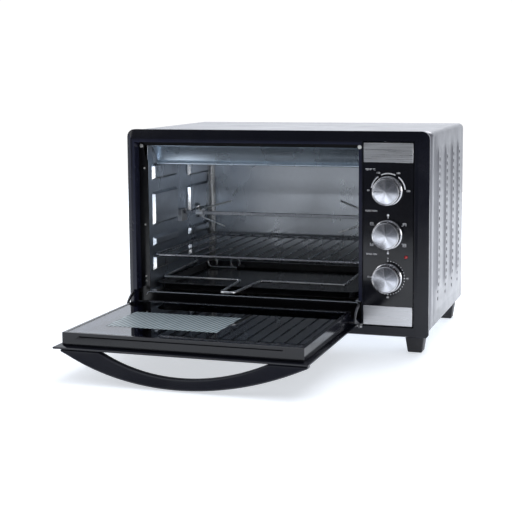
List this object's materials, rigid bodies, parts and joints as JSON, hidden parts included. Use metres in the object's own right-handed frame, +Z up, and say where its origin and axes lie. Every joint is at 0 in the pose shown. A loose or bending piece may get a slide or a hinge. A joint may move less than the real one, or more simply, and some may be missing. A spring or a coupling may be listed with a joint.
{
  "type": "rotisserie oven",
  "caption": "Counter-top rotisserie oven with drop-down glass door, bowed handle, wire rack, drip tray, spit with forks, three knobs and a ventilated sheet-metal body.",
  "frame": {"origin": "middle of the object's footprint with the door open, at the height of the feet", "axes": "+X to the right along the front, +Y to the back, +Z up"},
  "size_m": [0.52, 0.6774, 0.3595],
  "materials": {
    "bezel_black": "satin",
    "panel_black": "gloss",
    "shell_silver": "satin",
    "galvanised": "satin",
    "enamel_black": "gloss",
    "brushed_plate": "satin",
    "knob_metal": "satin",
    "chrome_wire": "gloss",
    "zinc": "satin",
    "glass": "gloss",
    "door_black": "gloss",
    "handle_black": "satin",
    "foot_black": "matte",
    "heater_steel": "satin",
    "lamp_red": "gloss",
    "buffer_white": "matte",
    "motor_grey": "matte"
  },
  "bodies": {
    "oven_body": {"bezel": "bezel_black", "shell": "shell_silver", "back_cover": "shell_silver", "base_plate": "galvanised", "front_plate": "enamel_black", "cavity_left": "galvanised", "cavity_right": "galvanised", "cavity_top": "galvanised", "cavity_bottom": "galvanised", "cavity_back": "galvanised", "deflector": "galvanised", "tray_rail_left": "galvanised", "tray_rail_right": "galvanised", "heater_upper_front": "heater_steel", "heater_upper_back": "heater_steel", "heater_lower_front": "heater_steel", "heater_lower_back": "heater_steel", "buffer_left": "buffer_white", "buffer_right": "buffer_white", "foot_front_left": "foot_black", "foot_front_right": "foot_black", "foot_back_left": "foot_black", "foot_back_right": "foot_black", "hinge_bracket_left": "zinc", "hinge_bracket_right": "zinc", "cord_gland": "foot_black", "control_panel": "panel_black", "badge_plate": "brushed_plate", "trim_plate": "brushed_plate", "indicator_lamp": "lamp_red", "thermostat_control": "motor_grey", "function_control": "motor_grey", "timer_control": "motor_grey", "spit_motor": "motor_grey", "spit_bearing": "zinc"},
    "thermostat": {"thermostat_knob": "knob_metal", "thermostat_disc": "brushed_plate"},
    "function": {"function_knob": "knob_metal", "function_disc": "brushed_plate"},
    "timer": {"timer_knob": "knob_metal", "timer_disc": "brushed_plate"},
    "spit": {"spit_rod": "chrome_wire", "drive_socket": "zinc"},
    "fork_left_body": {"fork_left": "chrome_wire"},
    "fork_right_body": {"fork_right": "chrome_wire"},
    "screw_left": {"thumbscrew_left": "zinc"},
    "screw_right": {"thumbscrew_right": "zinc"},
    "rack_body": {"rack": "chrome_wire"},
    "tray_body": {"tray": "enamel_black", "spit_lifter": "chrome_wire"},
    "lifting_handle_body": {"lifting_handle": "chrome_wire"},
    "door": {"door_frame": "door_black", "door_plate": "door_black", "door_glass": "glass", "door_handle": "handle_black", "door_stay_left": "zinc", "door_stay_right": "zinc"}
  },
  "joints": [
    {"name": "door_hinge", "type": "hinge", "parent": "oven_body", "child": "door", "pos_m": [-0.05, -0.0259, 0.045], "axis": [-1, 0, 0], "range_deg": [0, 90]},
    {"name": "thermostat_turn", "type": "hinge", "parent": "oven_body", "child": "thermostat", "pos_m": [0.1945, -0.0209, 0.265], "axis": [0, 1, 0], "range_deg": [0, 180]},
    {"name": "function_turn", "type": "hinge", "parent": "oven_body", "child": "function", "pos_m": [0.1945, -0.0209, 0.1945], "axis": [0, 1, 0], "range_deg": [0, 300]},
    {"name": "timer_turn", "type": "hinge", "parent": "oven_body", "child": "timer", "pos_m": [0.1945, -0.0209, 0.1245], "axis": [0, 1, 0], "range_deg": [0, 270]},
    {"name": "spit_spin", "type": "hinge", "parent": "oven_body", "child": "spit", "pos_m": [0, 0.1441, 0.2005], "axis": [1, 0, 0], "continuous": true},
    {"name": "fork_left_slide", "type": "slide", "parent": "spit", "child": "fork_left_body", "axis": [1, 0, 0], "range_m": [0, 0.08]},
    {"name": "fork_right_slide", "type": "slide", "parent": "spit", "child": "fork_right_body", "axis": [1, 0, 0], "range_m": [-0.06, 0]},
    {"name": "thumbscrew_left_turn", "type": "hinge", "parent": "fork_left_body", "child": "screw_left", "pos_m": [-0.19, 0.13766, 0.2065], "axis": [0, -0.7314, 0.682], "range_deg": [0, 360]},
    {"name": "thumbscrew_right_turn", "type": "hinge", "parent": "fork_right_body", "child": "screw_right", "pos_m": [0.126, 0.13556, 0.20263], "axis": [0, -0.9703, 0.2419], "range_deg": [0, 360]},
    {"name": "rack_slide", "type": "slide", "parent": "oven_body", "child": "rack_body", "axis": [0, 1, 0], "range_m": [-0.2, 0]},
    {"name": "tray_slide", "type": "slide", "parent": "oven_body", "child": "tray_body", "axis": [0, 1, 0], "range_m": [-0.2, 0]},
    {"name": "lifting_handle_slide", "type": "slide", "parent": "tray_body", "child": "lifting_handle_body", "axis": [0, 1, 0], "range_m": [0, 0.0702]}
  ],
  "couplings": [
    {"joint": "lifting_handle_slide", "follows": "door_hinge", "m_per_rad": 0.0445}
  ]
}
